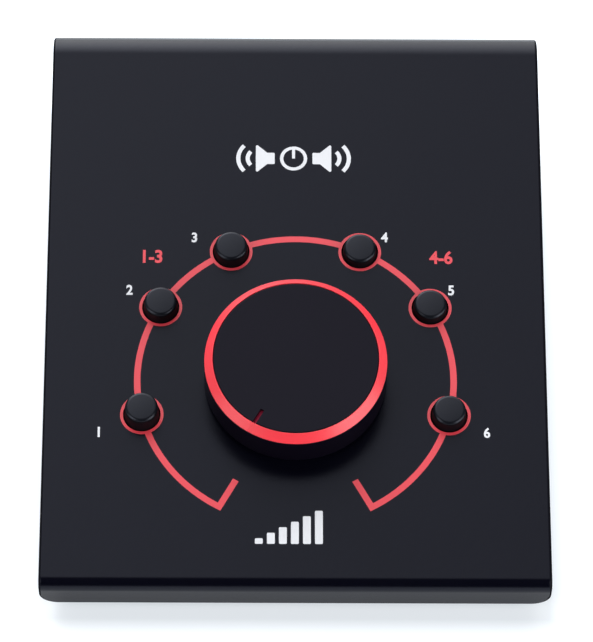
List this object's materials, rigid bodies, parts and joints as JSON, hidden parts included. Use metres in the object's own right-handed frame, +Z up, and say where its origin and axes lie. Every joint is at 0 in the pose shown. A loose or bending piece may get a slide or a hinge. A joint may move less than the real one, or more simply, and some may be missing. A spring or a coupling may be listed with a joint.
{
  "type": "studio monitor controller",
  "caption": "Wedge-shaped desktop box of bent sheet with a large volume knob, round push buttons in an arc round it and jack and phono sockets at the rear.",
  "frame": {"origin": "on the ground under the middle of the object's box, which runs from the front flange to the ends of the phono sockets", "axes": "+Y towards the rear with the sockets, +Z up, +X to the right of the person who faces the panel"},
  "size_m": [0.13, 0.164, 0.047],
  "materials": {
    "cover_paint": "satin black powder coat",
    "tray_paint": "matt black powder coat",
    "zinc_steel": "bright zinc plating",
    "black_screws": "black zinc plating",
    "foot_rubber": "matt black rubber",
    "jack_moulding": "black moulded nylon",
    "nickel": "nickel plating",
    "phono_white": "white moulding",
    "phono_red": "red moulding",
    "circuit_board": "green solder mask",
    "pillar_brass": "plain brass",
    "ribbon_grey": "grey flat cable",
    "component_black": "black moulding",
    "plunger_white": "white moulding",
    "knob_black": "black anodised, satin",
    "knob_red": "red anodised, satin",
    "button_black": "black moulding, satin"
  },
  "bodies": {
    "root": {"base_screws": "black_screws", "base_tray": "tray_paint", "board_pillars": "pillar_brass", "board_screws": "zinc_steel", "control_board": "circuit_board", "cover_rails": "zinc_steel", "jack_board": "circuit_board", "jack_board_pillars": "zinc_steel", "jack_board_screws": "zinc_steel", "jack_input_left": "jack_moulding", "jack_input_right": "jack_moulding", "jack_nuts": "nickel", "jack_output_a_left": "jack_moulding", "jack_output_a_right": "jack_moulding", "jack_output_b_left": "jack_moulding", "jack_output_b_right": "jack_moulding", "jack_washers": "nickel", "mono_switch": "component_black", "mute_switch": "component_black", "output_a_switch": "component_black", "output_b_switch": "component_black", "phono_housing": "jack_moulding", "phono_insert_red": "phono_red", "phono_insert_white": "phono_white", "phono_shells": "nickel", "pot_body": "component_black", "pot_bush": "pillar_brass", "pot_nut": "nickel", "pot_washer": "nickel", "rear_panel": "tray_paint", "ribbon_cable": "ribbon_grey", "ribbon_header_lower": "component_black", "ribbon_header_upper": "component_black", "rubber_feet": "foot_rubber", "side_screws": "black_screws", "source_switch": "component_black", "swap_switch": "component_black", "top_cover": "cover_paint"},
    "knob": {"pot_shaft": "nickel", "knob_skirt": "knob_black", "knob_core": "knob_red", "knob_cap": "knob_black"},
    "mute_key": {"mute_button": "button_black", "mute_plunger": "plunger_white"},
    "source_key": {"source_button": "button_black", "source_plunger": "plunger_white"},
    "swap_key": {"swap_button": "button_black", "swap_plunger": "plunger_white"},
    "output_a_key": {"output_a_button": "button_black", "output_a_plunger": "plunger_white"},
    "output_b_key": {"output_b_button": "button_black", "output_b_plunger": "plunger_white"},
    "mono_key": {"mono_button": "button_black", "mono_plunger": "plunger_white"}
  },
  "joints": [
    {"name": "volume_turn", "type": "hinge", "parent": "root", "child": "knob", "pos_m": [0, -0.02558, 0.02667], "axis": [0, -0.2079, 0.9781], "range_deg": [-300, 0]},
    {"name": "mute_press", "type": "slide", "parent": "root", "child": "mute_key", "axis": [0, 0.2079, -0.9781], "range_m": [0, 0.0025], "stiffness_N_per_m": 300},
    {"name": "source_press", "type": "slide", "parent": "root", "child": "source_key", "axis": [0, 0.2079, -0.9781], "range_m": [0, 0.0025], "stiffness_N_per_m": 300},
    {"name": "swap_press", "type": "slide", "parent": "root", "child": "swap_key", "axis": [0, 0.2079, -0.9781], "range_m": [0, 0.0025], "stiffness_N_per_m": 300},
    {"name": "output_a_press", "type": "slide", "parent": "root", "child": "output_a_key", "axis": [0, 0.2079, -0.9781], "range_m": [-0.001, 0.0015], "stiffness_N_per_m": 300},
    {"name": "output_b_press", "type": "slide", "parent": "root", "child": "output_b_key", "axis": [0, 0.2079, -0.9781], "range_m": [-0.001, 0.0015], "stiffness_N_per_m": 300},
    {"name": "mono_press", "type": "slide", "parent": "root", "child": "mono_key", "axis": [0, 0.2079, -0.9781], "range_m": [-0.001, 0.0015], "stiffness_N_per_m": 300}
  ]
}
